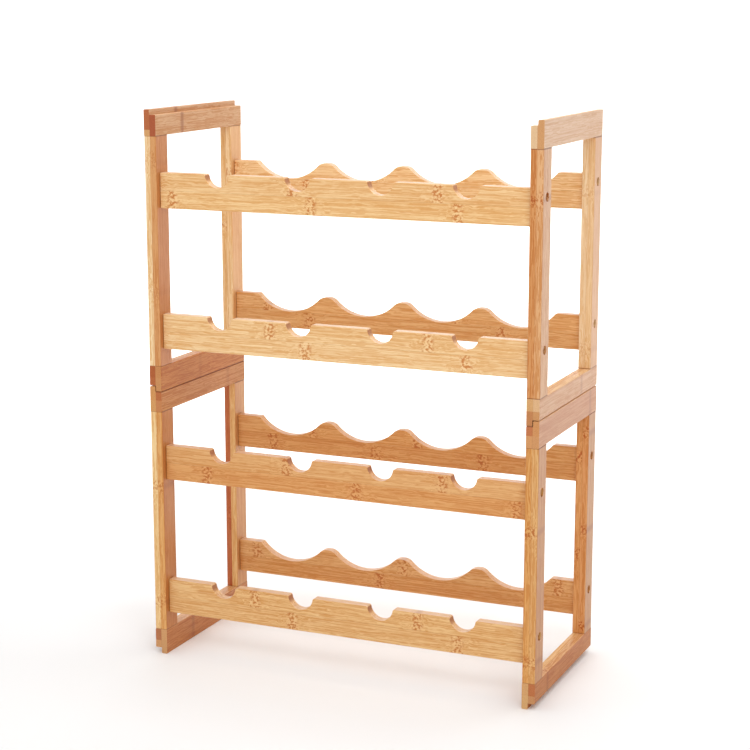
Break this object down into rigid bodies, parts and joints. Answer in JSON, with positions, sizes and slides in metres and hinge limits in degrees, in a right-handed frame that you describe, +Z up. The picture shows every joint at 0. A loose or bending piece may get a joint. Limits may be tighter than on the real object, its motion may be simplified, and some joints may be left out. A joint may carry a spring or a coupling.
{
  "type": "wine rack",
  "caption": "Stackable bamboo wine rack of two modules, each with two side frames, notched front boards and waved back boards that cradle lying bottles.",
  "frame": {"origin": "centre of the footprint at floor level, under the lower module", "axes": "+Z up, front towards -Y (the notched boards), +X to the right seen from the front"},
  "size_m": [0.477, 0.21, 0.646],
  "materials": {
    "board_bamboo": "satin lacquered bamboo, grain along the board",
    "post_bamboo": "satin lacquered bamboo, laminated upright",
    "rail_bamboo": "satin lacquered bamboo, laminated strips",
    "dowel_wood": "plain turned wood, glued in",
    "screw_steel": "zinc-plated, slightly dull"
  },
  "bodies": {
    "lower_module": {"lower_left_front_post": "post_bamboo", "lower_left_back_post": "post_bamboo", "lower_left_top_rail": "rail_bamboo", "lower_left_bottom_rail": "rail_bamboo", "lower_left_screws": "screw_steel", "lower_left_dowels": "dowel_wood", "lower_right_front_post": "post_bamboo", "lower_right_back_post": "post_bamboo", "lower_right_top_rail": "rail_bamboo", "lower_right_bottom_rail": "rail_bamboo", "lower_right_screws": "screw_steel", "lower_right_dowels": "dowel_wood", "lower_front_lower_board": "board_bamboo", "lower_front_upper_board": "board_bamboo", "lower_back_lower_board": "board_bamboo", "lower_back_upper_board": "board_bamboo"},
    "upper_module": {"upper_left_front_post": "post_bamboo", "upper_left_back_post": "post_bamboo", "upper_left_top_rail": "rail_bamboo", "upper_left_bottom_rail": "rail_bamboo", "upper_left_screws": "screw_steel", "upper_left_dowels": "dowel_wood", "upper_right_front_post": "post_bamboo", "upper_right_back_post": "post_bamboo", "upper_right_top_rail": "rail_bamboo", "upper_right_bottom_rail": "rail_bamboo", "upper_right_screws": "screw_steel", "upper_right_dowels": "dowel_wood", "upper_front_lower_board": "board_bamboo", "upper_front_upper_board": "board_bamboo", "upper_back_lower_board": "board_bamboo", "upper_back_upper_board": "board_bamboo"}
  },
  "joints": [
    {"name": "upper_module_lift", "type": "slide", "parent": "lower_module", "child": "upper_module", "axis": [0, 0, 1], "range_m": [0, 0.1]}
  ]
}
